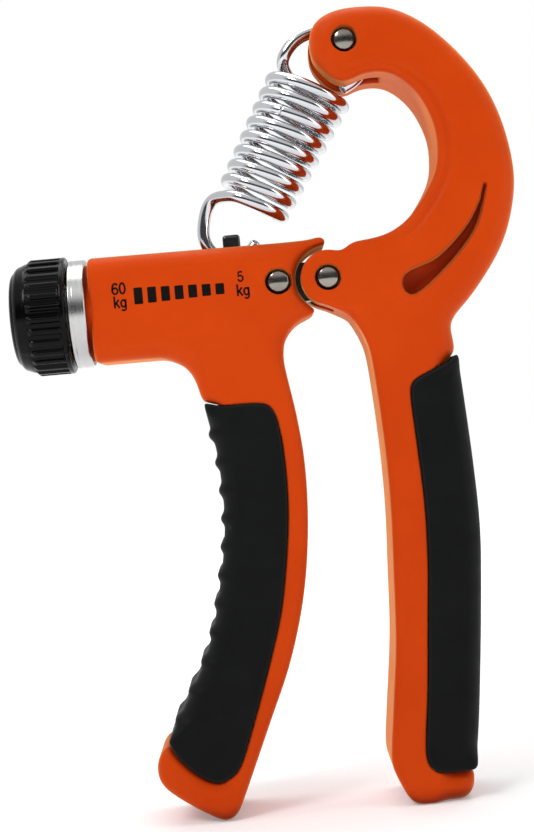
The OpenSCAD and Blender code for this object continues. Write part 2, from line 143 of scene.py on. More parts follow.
class Plan:
    """Signed distance to an outline in the x-z plane, kept on a fine grid."""

    STEP = 0.3
    PAD = 6.0

    def __init__(self, loop, soften):
        self.low = loop.min(0) - self.PAD
        high = loop.max(0) + self.PAD
        x = np.arange(self.low[0], high[0], self.STEP)[:, None]
        z = np.arange(self.low[1], high[1], self.STEP)[None, :]
        best = np.full((x.size, z.size), 1e9)
        inside = np.zeros(best.shape, bool)
        for (ax, az), (bx, bz) in zip(loop, np.roll(loop, -1, 0)):
            dx, dz = bx - ax, bz - az
            if dx * dx + dz * dz < 1e-9:
                continue
            t = np.clip(((x - ax) * dx + (z - az) * dz) / (dx * dx + dz * dz), 0, 1)
            best = np.minimum(best, (x - ax - t * dx) ** 2 + (z - az - t * dz) ** 2)
            if dz:
                inside ^= ((az > z) != (bz > z)) & (x < ax + (z - az) * dx / dz)
        self.grid = np.where(inside, -1, 1) * np.sqrt(best)
        self.z = z.ravel()
        cells = np.maximum(inside.sum(0), 1)
        self.mid = np.where(inside.any(0), (inside * x).sum(0) / cells, np.nan)
        known = ~np.isnan(self.mid)
        self.mid = np.interp(self.z, self.z[known], self.mid[known])
        if soften:
            self.blur(soften / self.STEP)

    def blur(self, sigma):
        """Rounds off the small kinks of the outline."""
        reach = int(3 * sigma) + 1
        weights = np.exp(-0.5 * (np.arange(-reach, reach + 1) / sigma) ** 2)
        weights /= weights.sum()
        for axis in (0, 1):
            pad = [(reach, reach) if i == axis else (0, 0) for i in (0, 1)]
            wide = np.pad(self.grid, pad, mode="reflect", reflect_type="odd")
            size = self.grid.shape[axis]
            self.grid = sum(w * np.take(wide, range(k, k + size), axis) for k, w in enumerate(weights))

    def __call__(self, x, z):
        u = np.clip((x - self.low[0]) / self.STEP, 0, self.grid.shape[0] - 1.001)
        v = np.clip((z - self.low[1]) / self.STEP, 0, self.grid.shape[1] - 1.001)
        i, j = u.astype(int), v.astype(int)
        s, t = u - i, v - j
        near = self.grid[i, j] * (1 - s) + self.grid[i + 1, j] * s
        far = self.grid[i, j + 1] * (1 - s) + self.grid[i + 1, j + 1] * s
        return near * (1 - t) + far * t

    def centre(self, z):
        """Middle of the outline at height z."""
        return np.interp(z, self.z, self.mid)


def make_mesh(name, points, faces):
    """A smooth-shaded object from points in millimetres."""
    mesh = bpy.data.meshes.new(name)
    mesh.from_pydata((np.asarray(points) * MM).tolist(), [], [list(map(int, f)) for f in faces])
    mesh.validate()
    mesh.shade_smooth()
    piece = bpy.data.objects.new(name, mesh)
    bpy.context.scene.collection.objects.link(piece)
    return piece


def skin(name, field, low, high, step):
    """Mesh of the surface where a field is zero: one point in each grid cell that it crosses."""
    axes = [np.arange(low[i] - 1.5 * step, high[i] + 2.5 * step, step) for i in range(3)]
    grid = field(axes[0][:, None, None], axes[1][None, :, None], axes[2][None, None, :])
    grid = np.broadcast_to(grid, [a.size for a in axes])
    solid = grid < 0
    cells = [n - 1 for n in grid.shape]
    total, count = np.zeros(cells + [3], np.float32), np.zeros(cells, np.float32)
    crossings = []
    for axis in range(3):
        lower = tuple(slice(0, -1) if i == axis else slice(None) for i in range(3))
        upper = tuple(slice(1, None) if i == axis else slice(None) for i in range(3))
        cut = solid[lower] != solid[upper]
        part = np.zeros(cut.shape, np.float32)
        part[cut] = grid[lower][cut] / (grid[lower][cut] - grid[upper][cut])
        crossings.append(cut)
        j, k = (axis + 1) % 3, (axis + 2) % 3
        for dj in (0, 1):
            for dk in (0, 1):
                window = [slice(None)] * 3
                window[j], window[k] = slice(dj, dj + cells[j]), slice(dk, dk + cells[k])
                here = cut[tuple(window)]
                total[..., axis] += part[tuple(window)]
                total[..., j] += dj * here
                total[..., k] += dk * here
                count += here
    used = count > 0
    index = np.full(cells, -1)
    index[used] = np.arange(used.sum())
    points = (np.argwhere(used) + total[used] / count[used][:, None]) * step
    points += np.array([a[0] for a in axes])
    points = settle(field, points, step)
    faces = []
    for axis, cut in enumerate(crossings):
        j, k = (axis + 1) % 3, (axis + 2) % 3
        at = np.argwhere(cut)
        at = at[(at[:, j] > 0) & (at[:, k] > 0) & (at[:, j] < cells[j]) & (at[:, k] < cells[k])]
        ring = []
        for dj, dk in ((-1, -1), (0, -1), (0, 0), (-1, 0)):
            cell = at.copy()
            cell[:, j] += dj
            cell[:, k] += dk
            ring.append(index[tuple(cell.T)])
        quads = np.stack(ring, 1)
        outward = solid[tuple(at.T)]
        faces.append(np.where(outward[:, None], quads, quads[:, ::-1]))
    return make_mesh(name, points, np.concatenate(faces))


def settle(field, points, step):
    """Moves points along the field's slope until they lie on its surface."""
    for _ in range(3):
        here = field(*points.T)
        slope = np.stack([(field(*(points + nudge).T) - field(*(points - nudge).T)) / 0.08
                          for nudge in np.eye(3) * 0.04], 1)
        move = -(here / np.maximum((slope ** 2).sum(1), 0.2))[:, None] * slope
        length = np.maximum(np.linalg.norm(move, axis=1), 1e-9)[:, None]
        points = points + move * np.minimum(1, 0.5 * step / length)
    return points


# ---------------------------------------------------------------- moulded handles and grips
GRIP_T = 1.8
GRIP_EDGE_T = 2.6
SEAM = 0.12
SLOT_HALF_W = 4.2
SLOT_X0, SLOT_X1 = HOOK_X - 25.7, 1.4
BORE_R = CARRIAGE[1][1] + 0.3
BORE_X1 = -3.2
SOCKET_R = 6.3
PIN_HOLE_R = PIN_R + 0.45
HOLE_EDGE = 0.25
RECESS_EDGE = 0.3
COLLAR_WALL = 1.3
TOP_SLOT_DEPTH = 3.6

# Room for the hinge link in each handle, and for the spring's loop in the arm.
LINK_ROOM_HALF_W, LINK_ROOM_R = 2.3, 3.9
LINK_SLOT_HALF_W, LINK_SLOT_R, LINK_SLOT_L, LINK_SLOT_HALF_H = 2.8, 6.2, 12, 14
LOOP_SLOT_HALF_W, LOOP_SLOT_L, LOOP_SLOT_HALF_H = 2.5, 7, 12

# Radii of the roundings between faces and edges, and what some places add to them.
LEG_EDGE, MORE_ON_BARREL = 2.0, 1.6
HAND_EDGE, MORE_OUTSIDE, KNUCKLE_EDGE = 1.5, 2.4, 0.5
SLEEVE_EDGE, MORE_ON_SLEEVE = 0.45, 3.2

# Groove round the arm's hole, the crescent, and the carriage.
GROOVE_DEPTH, GROOVE_IN, GROOVE_W = 0.55, 2.1, 0.75
CRESCENT_DEPTH, CRESCENT_TIP_DEPTH, CRESCENT_FLOOR = 2.0, 1.2, 0.5
CRESCENT_GROW, CRESCENT_LIP = 0.4, 0.14
BAR_HALF_L, WINDOW_HALF, NUT_REACH, NUT_BORE_R = 1.75, 1.7, 6, 3.05

# Depths at which outlines are read from the CAD nodes.
HANDLE_Y = -7.013
CRESCENT_Y = -9.013
GRIP_Y = -9.313

# The barrel's flat end is cut by its own field, so here its outline runs on past that end.
left_loop = sections("left_handle", HANDLE_Y)[0]
left_loop[left_loop[:, 0] < BARREL_X0 + 0.3, 0] -= 8
LEFT = Plan(left_loop, 1.0)
RIGHT = Plan(sections("right_handle", HANDLE_Y)[0], 1.0)
CRESCENT = Plan(sections("right_handle", CRESCENT_Y)[1], 0.15)
LEFT_GRIP = Plan(sections("left_grip", GRIP_Y)[0], 0.3)
RIGHT_GRIP = Plan(sections("right_grip", GRIP_Y)[0], 0.6)


def from_axis(centre, x, z):
    return np.hypot(x - centre[0], z - centre[2])


def grip_core(plan, side, x, y, z):
    """What stays of a handle inside its grip."""
    return rounded(plan(x - side * GRIP_EDGE_T, z), abs(y) - (HALF_T - GRIP_T), 1.2)


def grip_room(plan, side, x, y, z):
    """What a grip takes from its handle, with a fine gap round it."""
    return np.maximum(plan(x, z) - SEAM, -grip_core(plan, side, x, y, z))


def barrel_inside(x, y, z):
    """Bore, mouth and top slot of the barrel."""
    radial = np.hypot(y, z - AXIS_Z)
    bearing_r = BEARING[1][1]
    bore = all_of(radial - BORE_R, BEARING[1][0] - x, x - BORE_X1)
    mouth = all_of(radial - bearing_r, BEARING[0][0] - 2 - x, x - BEARING[1][0] - 1)
    across = abs(y) - SLOT_HALF_W
    slot = all_of(across, SLOT_X0 - x, x - SLOT_X1, TOP_Z - TOP_SLOT_DEPTH - z)
    deep = all_of(across, SLOT_X0 - x, x - BORE_X1, AXIS_Z - z)
    return np.minimum(np.minimum(bore, mouth), np.minimum(slot, deep))


def left_handle_field(x, y, z):
    """Barrel, socket and finger leg."""
    edge = LEG_EDGE + MORE_ON_BARREL * ramp(z, UNDER_Z - 9, UNDER_Z - 1)
    body = rounded(LEFT(x, z), abs(y) - HALF_T, edge)
    body = rounded(body, BARREL_X0 - x, 1.0)
    spigot = all_of(np.hypot(y, z - AXIS_Z) - COLLAR[1][1] + COLLAR_WALL,
                    COLLAR[0][0] - x, x - BARREL_X0 - 1)
    body = np.minimum(body, spigot)
    body = rounded(body, -barrel_inside(x, y, z), 0.35)
    body = rounded(body, SOCKET_R - from_axis(PIVOT, x, z), 0.5)
    link = all_of(abs(y) - LINK_ROOM_HALF_W, abs(z - PIVOT[2]) - LINK_ROOM_R, LINK[0] - LINK_ROOM_R - x)
    body = np.maximum(body, -link)
    body = rounded(body, PIN_HOLE_R - from_axis(LINK, x, z), HOLE_EDGE)
    return rounded(body, -grip_room(LEFT_GRIP, 1, x, y, z), RECESS_EDGE)


def right_edge_radius(x, z):
    """Generous on the outside, tight on the hand side, in the hole and at the knuckle."""
    leg = ramp(x - RIGHT.centre(z), -2, 2)
    arm = ramp(np.hypot(x - HOLE_X, z - HOLE_Z), 17, 22)
    outside = leg + (arm - leg) * ramp(z, PIVOT[2] - 14, PIVOT[2] - 4)
    radius = HAND_EDGE + MORE_OUTSIDE * outside
    return KNUCKLE_EDGE + (radius - KNUCKLE_EDGE) * ramp(from_axis(PIVOT, x, z), 6, 9.5)


def right_face_dip(x, z):
    """How far the faces of the arm sink: a groove round the hole, and the crescent."""
    edge = RIGHT(x, z)
    near_hole = ramp(np.hypot(x - HOLE_X, z - HOLE_Z), 20, 17) * ramp(z, PIVOT[2] + 4, PIVOT[2] + 9)
    groove = GROOVE_DEPTH * np.exp(-(((-edge - GROOVE_IN) / GROOVE_W) ** 2)) * near_hole
    tip = ramp(np.hypot(x - PIVOT[0] - 15, z - PIVOT[2] + 3), 28, 6)
    inside = CRESCENT_GROW - CRESCENT(x, z)
    wall = (CRESCENT_DEPTH + CRESCENT_TIP_DEPTH * tip) * ramp(inside, -0.1, 0.45)
    bowl = wall + CRESCENT_FLOOR * ramp(inside, 0.4, 2.2)
    lip = CRESCENT_LIP * np.exp(-(((inside + 0.6) / 0.4) ** 2))
    return groove + bowl - lip


def right_handle_field(x, y, z):
    """Palm leg, knuckle and C-shaped arm with its slots."""
    face = abs(y) - HALF_T + right_face_dip(x, z)
    body = rounded(RIGHT(x, z), face, right_edge_radius(x, z))
    open_side = all_of(x - PIVOT[0], PIVOT[0] - LINK_SLOT_L - x, abs(z - PIVOT[2]) - LINK_SLOT_HALF_H)
    link_slot = all_of(abs(y) - LINK_SLOT_HALF_W,
                       np.minimum(from_axis(PIVOT, x, z) - LINK_SLOT_R, open_side))
    body = rounded(body, -link_slot, HOLE_EDGE)
    loop_slot = all_of(abs(y) - LOOP_SLOT_HALF_W, abs(z - SPRING_PIN[2]) - LOOP_SLOT_HALF_H,
                       x - SPRING_PIN[0] - LOOP_SLOT_L)
    body = rounded(body, -loop_slot, 0.4)
    for pin in (PIVOT, SPRING_PIN):
        body = rounded(body, PIN_HOLE_R - from_axis(pin, x, z), HOLE_EDGE)
    return rounded(body, -grip_room(RIGHT_GRIP, -1, x, y, z), RECESS_EDGE)


def grip_field(plan, side, node, heel):
    """A soft sleeve: well rounded on its outer edge, crisp along the border with the handle.

    Side is 1 where the outer edge faces -X. Heel is how far above the lowest point its rounding starts.
    """
    low, high = corners(node)

    def field(x, y, z):
        outer_side = ramp((plan.centre(z) - x) * side, -1.5, 1.5)
        between_ends = ramp(high[2] - z, 0.6, 5) * ramp(z - low[2], heel, heel + 4.4)
        edge = SLEEVE_EDGE + MORE_ON_SLEEVE * outer_side * between_ends
        outside = rounded(plan(x, z), abs(y) - GRIP_HALF_T, edge)
        return np.maximum(outside, -grip_core(plan, side, x, y, z) - 0.02)
    return field


def carriage_field(x, y, z):
    """Nut on the screw, two cheeks and the cross bar that holds the hook."""
    radial = np.hypot(y, z - AXIS_Z)
    nut = rounded(radial - CARRIAGE[1][1], all_of(HOOK_X - NUT_REACH - x, x - CARRIAGE[1][0]), 0.4)
    bar = rounded(rounded(abs(x - HOOK_X) - BAR_HALF_L, abs(y) - SLOT_HALF_W + 0.3, 0.5),
                  all_of(z - CARRIAGE[1][2], AXIS_Z - z), 0.7)
    sill = CARRIAGE[1][2] - BAR_H - 2 * WINDOW_HALF
    beyond = all_of(BAR_HALF_L - abs(x - HOOK_X), sill - z)
    nut = np.maximum(nut, -beyond)
    window = all_of(abs(y) - WINDOW_HALF, abs(z - sill - WINDOW_HALF) - WINDOW_HALF)
    body = np.minimum(nut, bar)
    body = rounded(body, -window, 0.3)
    return np.maximum(body, NUT_BORE_R - radial)


# ---------------------------------------------------------------- turned pieces
def unit(rows):
    """The same directions, each of length one."""
    return rows / np.linalg.norm(rows, axis=1)[:, None]


def ring_faces(rings, sides):
    """Faces between neighbouring rings of points."""
    faces = []
    for start in range(0, (rings - 1) * sides, sides):
        for k in range(sides):
            j = (k + 1) % sides
            faces.append((start + k, start + j, start + sides + j, start + sides + k))
    return faces


def eased(profile, radius, steps=4):
    """Rounds the corners of a profile of (along, radius) points."""
    points = [np.array(p, float) for p in profile]
    out = [points[0]]
    for before, here, after in zip(points, points[1:], points[2:]):
        back, ahead = before - here, after - here
        reach = min(radius, 0.45 * np.linalg.norm(back), 0.45 * np.linalg.norm(ahead))
        a = here + back / np.linalg.norm(back) * reach
        b = here + ahead / np.linalg.norm(ahead) * reach
        out.append(a + (a - here) * 0.15)
        for k in range(steps + 1):
            t = k / steps
            out.append((1 - t) ** 2 * a + 2 * t * (1 - t) * here + t * t * b)
        out.append(b + (b - here) * 0.15)
    out.append(points[-1])
    return np.array(out)


def lathe(name, profile, centre, axis, sides=96, ripple=None):
    """Turns a profile of (along, radius) points about an axis through centre."""
    profile = np.asarray(profile, float)
    angle = np.arange(sides) * 2 * math.pi / sides
    along = np.repeat(profile[:, :1], sides, 1)
    radius = np.repeat(profile[:, 1:], sides, 1)
    if ripple:
        radius = ripple(along, angle[None, :], radius)
    one, two = radius * np.cos(angle), radius * np.sin(angle)
    order = {"x": (along, one, two), "y": (two, along, one)}[axis]
    points = np.stack(order, -1).reshape(-1, 3) + np.array(centre)
    piece = make_mesh(name, points, ring_faces(len(profile), sides))
    weld(piece)
    return piece


def weld(piece):
    """Joins the points that fall together on the axis, and turns the faces outward."""
    work = bmesh.new()
    work.from_mesh(piece.data)
    bmesh.ops.remove_doubles(work, verts=work.verts, dist=2e-6)
    bmesh.ops.recalc_face_normals(work, faces=work.faces)
    work.to_mesh(piece.data)
    work.free()
    piece.data.shade_smooth()


def dense(profile, step):
    """Adds points so that none are further apart than step."""
    out = [profile[0]]
    for a, b in zip(profile, profile[1:]):
        count = max(1, math.ceil(np.linalg.norm(b - a) / step))
        out += [a + (b - a) * (i + 1) / count for i in range(count)]
    return np.array(out)


def pin_piece(name, node):
    """Cross pin with domed ends."""
    half = corners(node)[1][1]
    crown, face_share, shoulder = 0.5, 0.95, 0.75
    dome = [(half - crown * (share * face_share) ** 2, PIN_R * share * face_share)
            for share in np.linspace(1, 0, 8)]
    profile = [(-along, radius) for along, radius in reversed(dome)]
    profile += [(-half + shoulder, PIN_R), (half - shoulder, PIN_R)] + dome
    centre = middle(node) * np.array([1, 0, 1])
    return lathe(name, eased(profile, 0.14), centre, "y", 64)


KNOB = corners("knob")
CAP_X0 = corners("knob_cap")[0][0]
KNOB_R = KNOB[1][1]
RIB_H = 0.7
RIBS = 30
CORE_R = KNOB_R - RIB_H


def knob_ripple(along, angle, radius):
    """Ribs round the grip zone of the knob, with rounded ends."""
    turn = (angle * RIBS / (2 * math.pi)) % 1
    rib = ramp(abs(turn - 0.5), 0.31, 0.15)
    zone = ramp(along, CAP_X0 + 3.7, CAP_X0 + 4.6) * ramp(along, KNOB[1][0] - 0.9, KNOB[1][0] - 1.25)
    on_rim = radius > CORE_R - 0.05
    return radius + rib * zone * on_rim * RIB_H


def knob_pieces():
    """Ribbed knob with a rim at the collar, and the cap that closes its end."""
    x0, x1 = CAP_X0, KNOB[1][0]
    profile = [(x0 + 1.3, 5.8), (x0 + 1.05, 6.0), (x0 + 1.05, CORE_R - 1.45), (x0 + 1.7, CORE_R - 0.7),
               (x0 + 2.9, CORE_R - 0.25), (x0 + 3.5, CORE_R), (x1 - 1.15, CORE_R), (x1 - 1.0, KNOB_R),
               (x1 - 0.3, KNOB_R), (x1, KNOB_R - 0.35), (x1, CORE_R - 1.8), (x1 - 5, CORE_R - 2),
               (x1 - 5, 6.4), (x1 - 0.7, 6.2), (x1 - 0.7, 3.0), (x1 - 6, 3.0)]
    knob = lathe("knob_body", dense(eased(profile, 0.3), 0.4), KNOB_AXIS, "x", RIBS * 14, knob_ripple)
    profile = [(x0 + 0.02, 0), (x0 + 0.05, 4), (x0 + 0.2, CORE_R - 3.2), (x0 + 0.45, CORE_R - 2.1),
               (x0 + 1.0, CORE_R - 1.6), (x0 + 1.4, CORE_R - 1.6), (x0 + 1.6, 5.5), (x0 + 1.9, 5.2),
               (x0 + 1.9, 0)]
    cap = lathe("knob_end_cap", eased(profile, 0.35), KNOB_AXIS, "x", 128)
    return knob, cap


def collar_piece():
    """Metal ring with a fine turned line near the knob."""
    x0, x1, r = COLLAR[0][0], COLLAR[1][0], COLLAR[1][1]
    inner = r - COLLAR_WALL
    profile = [(x0 + 0.9, inner), (x0, inner), (x0, r - 0.3), (x0 + 0.3, r), (x0 + 0.9, r),
               (x0 + 1.0, r - 0.06), (x0 + 1.1, r), (x1 - 0.3, r), (x1, r - 0.3), (x1, inner),
               (x0 + 0.9, inner)]
    return lathe("collar_band", eased(profile, 0.12), KNOB_AXIS, "x", 144)


def screw_piece():
    """Lead screw with a true helical thread."""
    low, high = corners("lead_screw")
    thread_x0, thread_x1, radius, pitch = BEARING[1][0] + 1.4, BORE_X1 - 1.2, 3.0, 1.5

    def thread(along, angle, r):
        turn = (along / pitch - angle / (2 * math.pi)) % 1
        groove = 1 - ramp(abs(turn - 0.5), 0.12, 0.38)
        zone = ramp(along, thread_x0 - 0.3, thread_x0 + 0.6) * ramp(along, thread_x1 + 0.2, thread_x1 - 0.8)
        return r - 0.5 * groove * zone * (r > 2.9)
    profile = [(low[0], 0), (low[0], radius), (BEARING[1][0] + 0.15, radius), (BEARING[1][0] + 0.15, 2.2),
               (BEARING[1][0] + 0.95, 2.2), (BEARING[1][0] + 0.95, radius), (thread_x1, radius),
               (thread_x1 + 0.6, 1.6), (high[0], 1.6), (high[0], 0)]
    return lathe("threaded_rod", dense(eased(profile, 0.12), 0.15), KNOB_AXIS, "x", 48, thread)


# ---------------------------------------------------------------- the spring
WIRE_R = 1.25
TURNS = 9
COIL_R0, COIL_R1 = 6.7, 7.95
JOIN = 0.16
HOOK_R = 5.6
HOOK_GAP = 0.38
BAR_BOTTOM = CARRIAGE[1][2] - BAR_H
HOOK_C = np.array([HOOK_X, 0, BAR_BOTTOM - WIRE_R - HOOK_GAP + HOOK_R])
COIL_BASE = np.array([HOOK_X + 4.3, 0, BAR_BOTTOM + 8.3])
COIL_TOP = np.array([SPRING_PIN[0] - 6.6, 0, SPRING_PIN[2] - 6.4])
COIL_PITCH = np.linalg.norm(COIL_TOP - COIL_BASE) / TURNS
UP = (COIL_TOP - COIL_BASE) / np.linalg.norm(COIL_TOP - COIL_BASE)
ACROSS = np.array([UP[2], 0, -UP[0]])


def coil_at(t):
    """Point of the coil, t turns above its lower end."""
    r = COIL_R0 + (COIL_R1 - COIL_R0) * t / TURNS
    turn = 2 * math.pi * t
    sideways = np.array([0, r * math.sin(turn), 0])
    return COIL_BASE + UP * COIL_PITCH * t - ACROSS * r * math.cos(turn) - sideways


def through(points, count):
    """Smooth open curve through points, count steps between neighbours."""
    p = [np.array(q, float) for q in points]
    out = []
    for i in range(len(p) - 1):
        a, b, c, d = p[max(i - 1, 0)], p[i], p[i + 1], p[min(i + 2, len(p) - 1)]
        for k in range(count):
            t = k / count
            out.append(0.5 * (2 * b + (c - a) * t + (2 * a - 5 * b + 4 * c - d) * t * t
                              + (3 * b - a - 3 * c + d) * t ** 3))
    return out + [p[-1]]


def spring_path():
    """Centre line from the tip of the hook to the tip of the loop, evenly spaced."""
    arc = [HOOK_C + HOOK_R * np.array([math.cos(a), 0, math.sin(a)])
           for a in np.radians(np.linspace(-32, -190, 40))]
    rise = [(HOOK_X - 4.7, -0.1, HOOK_C[2] + 4.4), (HOOK_X - 2.9, -0.9, HOOK_C[2] + 6.9)]
    coil = [coil_at(t) for t in np.linspace(JOIN, TURNS - JOIN, 420)]
    pin = SPRING_PIN * np.array([1, 0, 1])
    top = [pin + np.array(q) for q in ((-12.3, 0.6, -1.7), (-10.3, 0, 1.6), (-7.8, 0, 3.3), (-4.6, 0, 4.1),
                                       (0.2, 0, 4.4), (3, 0, 3.2), (4.35, 0, 0.2), (4.1, 0, -3.4),
                                       (2.4, 0, -6.4), (-0.3, 0, -7.9))]
    into_coil = through([arc[-1]] + rise + [coil[0]], 12)
    line = np.array(arc[:-1] + into_coil[:-1] + coil[:-1] + through([coil[-1]] + top, 12))
    run = np.concatenate([[0], np.cumsum(np.linalg.norm(np.diff(line, axis=0), axis=1))])
    even = np.arange(0, run[-1], 0.35)
    line = np.stack([np.interp(even, run, line[:, i]) for i in range(3)], 1)
    weights = np.exp(-0.5 * (np.arange(-8, 9) / 3.0) ** 2)
    weights /= weights.sum()
    wide = np.pad(line, ((8, 8), (0, 0)), mode="reflect", reflect_type="odd")
    return sum(w * wide[k:k + len(line)] for k, w in enumerate(weights))


def tube(name, line, radius, round_start, round_end, sides=20):
    """Round wire along a line; a free end is domed."""
    line = np.array(line)
    along = unit(np.gradient(line, axis=0))
    normal = np.cross(along[0], [0, 1, 0]) if abs(along[0][1]) < 0.7 else np.cross(along[0], [1, 0, 0])
    rings = []
    for p, d in zip(line, along):
        normal = normal - d * (normal @ d)
        normal /= np.linalg.norm(normal)
        rings.append((p, d, normal, np.cross(d, normal), radius))
    for at_end, wanted in ((False, round_start), (True, round_end)):
        if wanted:
            p, d, n, b, _ = rings[-1 if at_end else 0]
            sign = 1 if at_end else -1
            cap = [(p + d * sign * radius * 0.7 * math.sin(a), d, n, b, radius * math.cos(a))
                   for a in np.radians([18, 36, 54, 72, 86])]
            rings = rings + cap if at_end else cap[::-1] + rings
    angle = np.arange(sides) * 2 * math.pi / sides
    points = [p + r * (n * math.cos(a) + b * math.sin(a)) for p, d, n, b, r in rings for a in angle]
    faces = ring_faces(len(rings), sides)
    faces.append(tuple(range(sides))[::-1])
    faces.append(tuple((len(rings) - 1) * sides + k for k in range(sides)))
    piece = make_mesh(name, points, faces)
    weld(piece)
    return piece


# ---------------------------------------------------------------- printed scale
PRINT_Y = -HALF_T - 0.015


def print_plate(name, outline):
    """Thin layer of ink on the front face, from an outline of (x, z) points."""
    n = len(outline)
    points = [(x, PRINT_Y, z) for x, z in outline] + [(x, PRINT_Y + 0.05, z) for x, z in outline]
    faces = [tuple(range(n)), tuple(range(2 * n - 1, n - 1, -1))]
    faces += [(k, n + k, n + (k + 1) % n, (k + 1) % n) for k in range(n)]
    piece = make_mesh(name, points, faces)
    weld(piece)
    piece.data.shade_flat()
    return piece


def scale_bars():
    """Bars with cut corners, shorter towards the light end of the scale."""
    count, x0, pitch, half, z, edge = 7, -25.0, 2.69, 0.86, AXIS_Z + 2.0, 0.12
    tallest, loss = 1.64, 0.56
    bars = []
    for i in range(count):
        x = x0 + i * pitch
        high = tallest - loss * i / (count - 1)
        outline = [(x - half + edge, z - high), (x + half - edge, z - high),
                   (x + half, z - high + edge), (x + half, z + high - edge),
                   (x + half - edge, z + high), (x - half + edge, z + high),
                   (x - half, z + high - edge), (x - half, z - high + edge)]
        bars.append(print_plate(f"scale_bar_{i + 1}", outline))
    return bars


def oval(x, z, width, height):
    turns = np.arange(24) * 2 * math.pi / 24
    return [(x + width * math.cos(a), z + height * math.sin(a)) for a in turns]


# Each sign has its advance and its lines, as shares of its height, and whether each line closes.
GLYPHS = {
    "0": (0.62, [(oval(0.30, 0.50, 0.22, 0.44), True)]),
    "6": (0.62, [(oval(0.30, 0.31, 0.22, 0.25), True),
                 ([(0.08, 0.31), (0.08, 0.50), (0.12, 0.74), (0.21, 0.89), (0.33, 0.94), (0.44, 0.90),
                   (0.50, 0.79)], False)]),
    "5": (0.62, [([(0.48, 0.93), (0.15, 0.93), (0.13, 0.90), (0.08, 0.50), (0.19, 0.58), (0.32, 0.60),
                   (0.45, 0.52), (0.51, 0.40), (0.51, 0.26), (0.44, 0.13), (0.31, 0.06), (0.17, 0.08),
                   (0.08, 0.18), (0.06, 0.27)], False)]),
    "k": (0.56, [([(0.09, 0.0), (0.09, 1.0)], False), ([(0.47, 0.70), (0.09, 0.27)], False),
                 ([(0.22, 0.42), (0.50, 0.0)], False)]),
    "g": (0.60, [(oval(0.28, 0.35, 0.20, 0.29), True),
                 ([(0.48, 0.70), (0.48, -0.04), (0.44, -0.17), (0.35, -0.23), (0.22, -0.24), (0.10, -0.16)],
                  False)]),
}
STROKE = 0.145
INK_T = 0.03


def scale_word(name, word, x, z, height):
    """Printed signs, drawn with strokes of one width and centred at (x, z)."""
    wide = sum(GLYPHS[sign][0] for sign in word)
    points, faces = [], []
    start = -wide / 2
    for sign in word:
        advance, lines = GLYPHS[sign]
        for line, closed in lines:
            line = np.array(line)
            ahead = np.roll(line, -1, axis=0) - line
            behind = line - np.roll(line, 1, axis=0)
            if not closed:
                ahead[-1], behind[0] = behind[-1], ahead[0]
            along = unit(unit(ahead) + unit(behind))
            side = np.stack([-along[:, 1], along[:, 0]], axis=1) * STROKE / 2
            first, count = len(points), len(line)
            for place, shift in zip(line, side):
                for y, end in ((-INK_T, 1), (-INK_T, -1), (INK_T, -1), (INK_T, 1)):
                    sx, sz = place + shift * end
                    points.append((x + (start + sx) * height, PRINT_Y + y, z + (sz - 0.5) * height))
            for k in range(count if closed else count - 1):
                here, there = first + 4 * k, first + 4 * ((k + 1) % count)
                faces += [(here + c, here + (c + 1) % 4, there + (c + 1) % 4, there + c) for c in range(4)]
            if not closed:
                last = first + 4 * (count - 1)
                faces += [(first + 3, first + 2, first + 1, first), (last, last + 1, last + 2, last + 3)]
        start += advance
    return make_mesh(name, points, faces)


# ---------------------------------------------------------------- materials
class Finish:
    """A material made of nodes, worked out from places on the object."""

    def __init__(self, name, metallic=0.0):
        self.material = bpy.data.materials.new(name)
        self.material.use_nodes = True
        self.nodes = self.material.node_tree.nodes
        self.links = self.material.node_tree.links
        self.shader = self.nodes["Principled BSDF"]
        self.shader.inputs["Metallic"].default_value = metallic
        self.place = self.nodes.new("ShaderNodeTexCoord").outputs["Object"]
        self.normal = None

    def noise(self, scale, detail=3.0, rough=0.5, stretch=None):
        source = self.place
        if stretch:
            mapping = self.nodes.new("ShaderNodeMapping")
            mapping.inputs["Scale"].default_value = stretch
            self.links.new(self.place, mapping.inputs["Vector"])
            source = mapping.outputs["Vector"]
        node = self.nodes.new("ShaderNodeTexNoise")
        node.inputs["Scale"].default_value = scale
        node.inputs["Detail"].default_value = detail
        node.inputs["Roughness"].default_value = rough
        self.links.new(source, node.inputs["Vector"])
        return node.outputs["Fac"]

    def spread(self, source, low, high, start=0.3, end=0.7):
        node = self.nodes.new("ShaderNodeMapRange")
        node.inputs["From Min"].default_value = start
        node.inputs["From Max"].default_value = end
        node.inputs["To Min"].default_value = low
        node.inputs["To Max"].default_value = high
        self.links.new(source, node.inputs["Value"])
        return node.outputs["Result"]

    def mix(self, amount, first, second):
        node = self.nodes.new("ShaderNodeMix")
        node.data_type = "RGBA"
        self.links.new(amount, node.inputs["Factor"])
        for socket, value in ((node.inputs[6], first), (node.inputs[7], second)):
            if hasattr(value, "is_linked"):
                self.links.new(value, socket)
            else:
                socket.default_value = (*value, 1)
        return node.outputs[2]

    def colour(self, source):
        self.links.new(source, self.shader.inputs["Base Color"])
        return self

    def rough(self, source):
        self.links.new(source, self.shader.inputs["Roughness"])
        return self

    def bump(self, source, strength, distance_mm):
        node = self.nodes.new("ShaderNodeBump")
        node.inputs["Strength"].default_value = strength
        node.inputs["Distance"].default_value = distance_mm * MM
        self.links.new(source, node.inputs["Height"])
        if self.normal:
            self.links.new(self.normal, node.inputs["Normal"])
        self.normal = node.outputs["Normal"]
        self.links.new(self.normal, self.shader.inputs["Normal"])
        return self

    def fixed(self, **values):
        """Sets sockets that are the same all over, named with underscores for spaces."""
        for key, value in values.items():
            self.shader.inputs[key.replace("_", " ")].default_value = value
        return self

    def edge_wear_and_highlight(self):
        """Share of a place that is an exposed edge."""
        return self.spread(self.nodes.new("ShaderNodeNewGeometry").outputs["Pointiness"], 0, 1, 0.52, 0.6)


